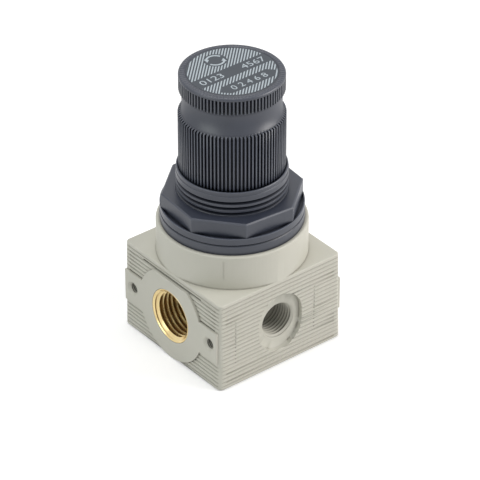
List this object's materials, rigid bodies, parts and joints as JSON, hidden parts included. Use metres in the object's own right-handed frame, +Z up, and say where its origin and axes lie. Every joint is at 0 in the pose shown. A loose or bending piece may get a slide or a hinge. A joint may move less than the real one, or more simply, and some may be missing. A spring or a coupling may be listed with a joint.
{
  "type": "miniature pressure regulator",
  "caption": "Diaphragm pressure regulator for compressed air: grooved square body with brass port threads, round neck, panel nut on a threaded collar and a ribbed push-to-lock knob",
  "frame": {"origin": "centre of the base, on the knob's axis", "axes": "+Z up along the knob's axis, inlet port on -X, outlet port on +X, open gauge port on -Y, plugged gauge port on +Y"},
  "size_m": [0.0386, 0.038, 0.0742],
  "materials": {
    "body": "matte",
    "brass": "turned",
    "dark_plastic": "matte",
    "printed_disc": "satin",
    "steel": "turned",
    "spring_steel": "drawn",
    "rubber": "matte",
    "aluminium": "pressed",
    "acetal": "satin"
  },
  "bodies": {
    "root": {"body": "body", "inlet_insert": "brass", "outlet_insert": "brass", "gauge_plug": "steel", "bottom_plug": "dark_plastic", "bottom_plug_o_ring": "rubber", "stem_o_ring": "rubber", "valve_seat": "brass", "valve_spring": "spring_steel", "diaphragm": "rubber", "clamp_ring": "acetal", "adjusting_spring": "spring_steel", "bonnet": "dark_plastic", "thrust_washer": "acetal"},
    "valve": {"valve_poppet": "brass", "poppet_seal": "rubber"},
    "diaphragm_centre": {"diaphragm_hub": "brass", "spring_seat": "aluminium"},
    "spindle": {"adjusting_spindle": "steel"},
    "follower": {"spring_follower": "acetal"},
    "knob": {"knob": "dark_plastic", "knob_disc": "printed_disc", "detent_ring": "spring_steel"},
    "nut": {"panel_nut": "dark_plastic"}
  },
  "joints": [
    {"name": "spindle_turn", "type": "hinge", "parent": "root", "child": "spindle", "pos_m": [0, 0, 0.062], "axis": [0, 0, 1], "range_deg": [-2160, 0]},
    {"name": "follower_slide", "type": "slide", "parent": "root", "child": "follower", "axis": [0, 0, 1], "range_m": [-0.0075, 0], "deforming": ["adjusting_spring"]},
    {"name": "knob_push", "type": "slide", "parent": "spindle", "child": "knob", "axis": [0, 0, 1], "range_m": [-0.0012, 0]},
    {"name": "diaphragm_lift", "type": "slide", "parent": "root", "child": "diaphragm_centre", "axis": [0, 0, 1], "range_m": [-0.001, 0], "stiffness_N_per_m": 500, "springref_m": 0.0005, "deforming": ["diaphragm"]},
    {"name": "valve_lift", "type": "slide", "parent": "root", "child": "valve", "axis": [0, 0, 1], "range_m": [-0.001, 0], "stiffness_N_per_m": 200, "springref_m": 0.001, "deforming": ["valve_spring"]},
    {"name": "panel_nut_turn", "type": "hinge", "parent": "root", "child": "nut", "pos_m": [0, 0, 0.0382], "axis": [0, 0, 1], "range_deg": [0, 1080]}
  ],
  "couplings": [
    {"joint": "spindle_turn", "follows": "follower_slide", "rad_per_m": 5026.5},
    {"joint": "valve_lift", "follows": "diaphragm_lift", "ratio": 1}
  ]
}
